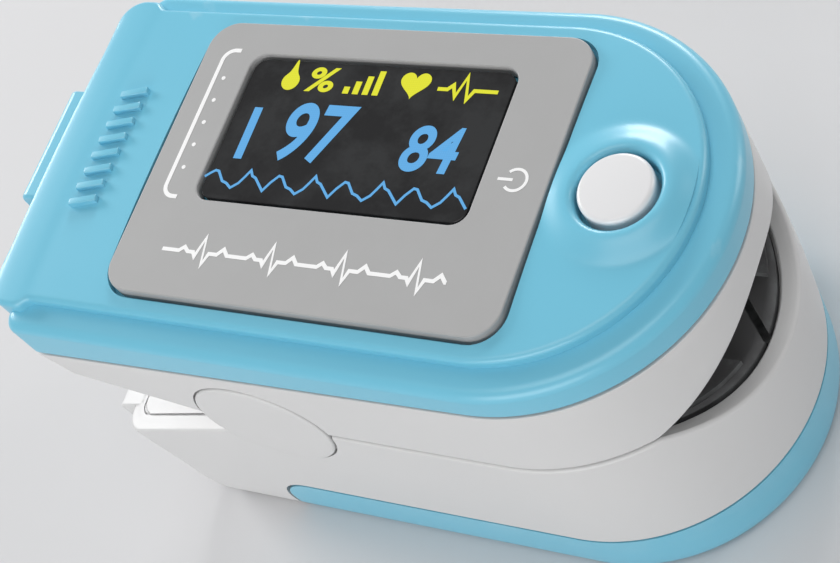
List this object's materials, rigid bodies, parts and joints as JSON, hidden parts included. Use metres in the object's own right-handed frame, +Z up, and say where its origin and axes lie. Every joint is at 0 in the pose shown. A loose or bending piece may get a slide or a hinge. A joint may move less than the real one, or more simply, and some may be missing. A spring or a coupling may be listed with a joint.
{
  "type": "fingertip pulse oximeter",
  "caption": "Fingertip pulse oximeter: two sprung jaws that clip on a finger, with a dark display in a grey panel, a power button and a sliding battery cover.",
  "frame": {"origin": "middle of the overall footprint, on the resting surface", "axes": "+X from the pinch handles to the finger opening, +Y to the left, +Z up through the display"},
  "size_m": [0.0576, 0.0316, 0.033],
  "materials": {
    "blue_shell": "satin moulded, light sky blue",
    "white_shell": "satin moulded, cool white",
    "grey_panel": "fine matt, printed",
    "window": "clear, over a dark display",
    "white_button": "polished",
    "silicone": "soft matt",
    "circuit_board": "solder mask",
    "chip": "moulded package",
    "steel": "plain or nickel plated",
    "battery_jacket": "printed film sleeve",
    "clear_lens": "clear, tinted by what is behind it",
    "flex": "polyimide film"
  },
  "bodies": {
    "lower_jaw": {"lower_casing": "white_shell", "lower_finger_pad": "silicone", "detector_window": "clear_lens", "sensor_board": "circuit_board", "photodetector": "clear_lens", "flex_cable": "flex", "battery_left": "battery_jacket", "battery_right": "battery_jacket", "bridge_contact": "steel", "contact_plate_left": "steel", "contact_plate_right": "steel", "contact_spring_left": "steel", "contact_spring_right": "steel", "hinge_cap_left": "white_shell", "hinge_cap_right": "white_shell", "hinge_pin_left": "steel", "hinge_pin_right": "steel", "torsion_spring_left": "steel", "torsion_spring_right": "steel"},
    "upper_jaw": {"top_cover": "blue_shell", "upper_casing": "white_shell", "display_panel": "grey_panel", "display_window": "window", "display_module": "chip", "main_board": "circuit_board", "processor_chip": "chip", "driver_chip": "chip", "button_switch": "steel", "led_emitter": "clear_lens", "upper_finger_pad": "silicone", "emitter_window": "clear_lens", "casing_screw_1": "steel", "casing_screw_2": "steel", "casing_screw_3": "steel", "casing_screw_4": "steel"},
    "button": {"power_button": "white_button", "switch_plunger": "chip"},
    "battery_door": {"battery_cover": "blue_shell"}
  },
  "joints": [
    {"name": "jaw_hinge", "type": "hinge", "parent": "lower_jaw", "child": "upper_jaw", "pos_m": [-0.0074, 0, 0.0198], "axis": [0, -1, 0], "range_deg": [0, 25], "stiffness_Nm_per_rad": 0.15, "springref_deg": -20.05, "deforming": ["torsion_spring_left", "torsion_spring_right", "flex_cable"]},
    {"name": "button_press", "type": "slide", "parent": "upper_jaw", "child": "button", "axis": [0, 0, -1], "range_m": [0, 0.0003], "stiffness_N_per_m": 500, "springref_m": -0.0005},
    {"name": "battery_cover_slide", "type": "slide", "parent": "lower_jaw", "child": "battery_door", "axis": [1, 0, 0], "range_m": [0, 0.046]}
  ]
}
